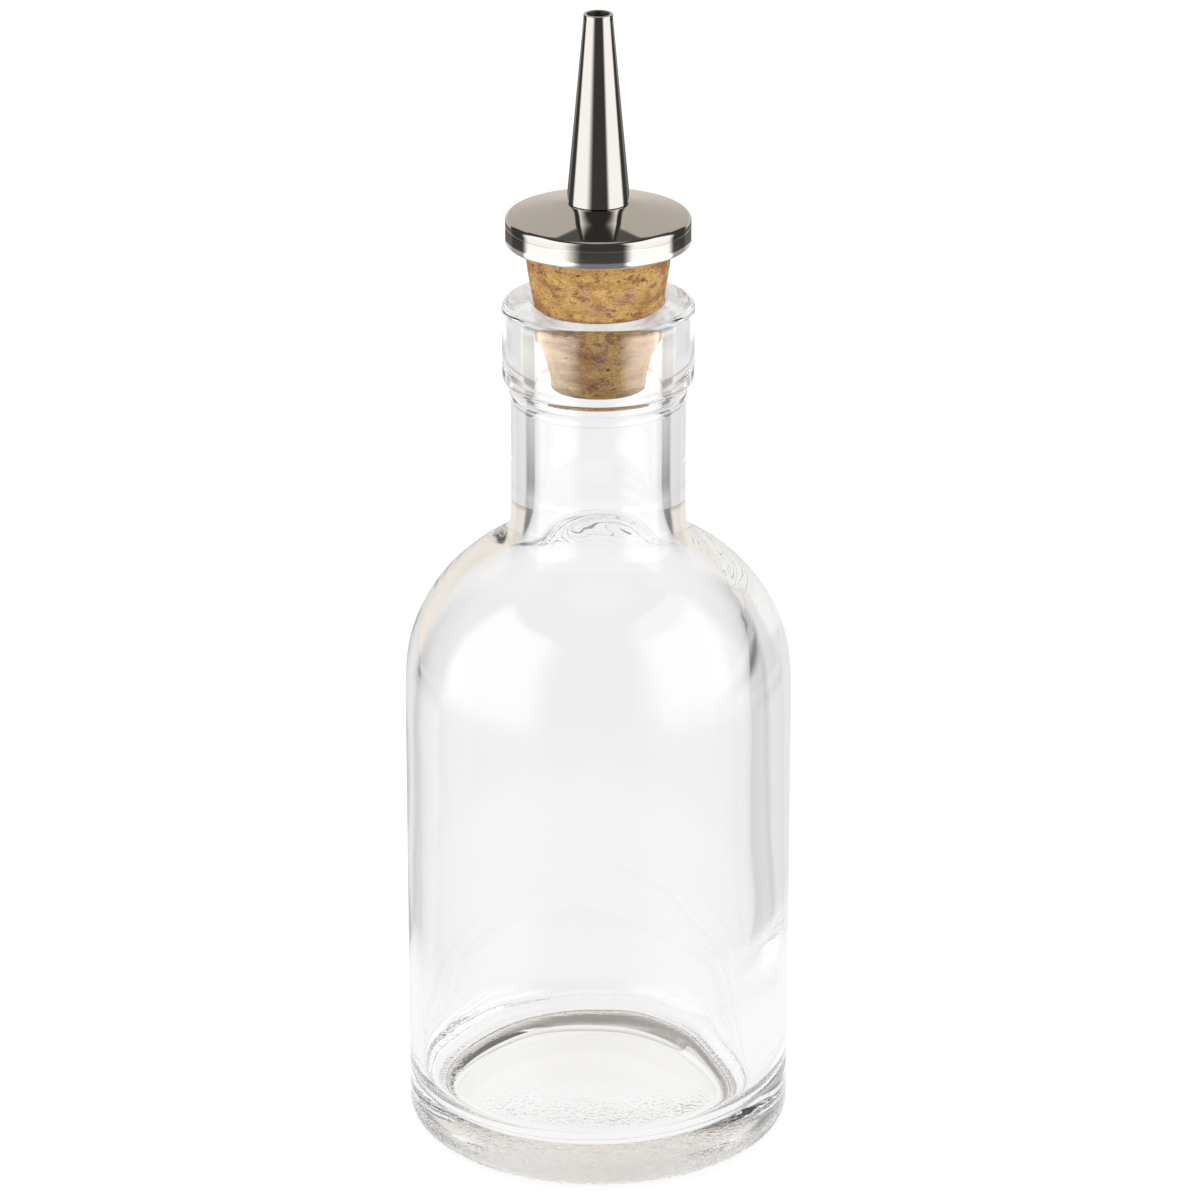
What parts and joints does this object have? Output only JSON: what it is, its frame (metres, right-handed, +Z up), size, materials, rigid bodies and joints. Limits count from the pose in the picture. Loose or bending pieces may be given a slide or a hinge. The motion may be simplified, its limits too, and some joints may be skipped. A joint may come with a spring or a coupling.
{
  "type": "oil and vinegar bottle",
  "caption": "Round clear glass bottle with a domed shoulder and heavy lip, closed by a cork that carries a steel disc and a tapered pouring spout.",
  "frame": {"origin": "middle of the base, on the surface that the bottle stands on", "axes": "+Z up along the bottle's own axis; the bottle is round, so X and Y are alike"},
  "size_m": [0.06, 0.06, 0.1813],
  "materials": {
    "clear_glass": "smooth clear soda-lime glass",
    "cork": "pressed cork, matt, with dark pores",
    "polished_steel": "polished stainless steel",
    "turned_steel": "stainless steel with fine turning marks"
  },
  "bodies": {
    "bottle": {"glass_bottle": "clear_glass"},
    "stopper": {"cork_stopper": "cork", "cap_disc": "turned_steel", "spout_cone": "polished_steel", "stem_tube": "turned_steel"}
  },
  "joints": [
    {"name": "stopper_lift", "type": "slide", "parent": "bottle", "child": "stopper", "axis": [0, 0, 1], "range_m": [0, 0.04]}
  ]
}
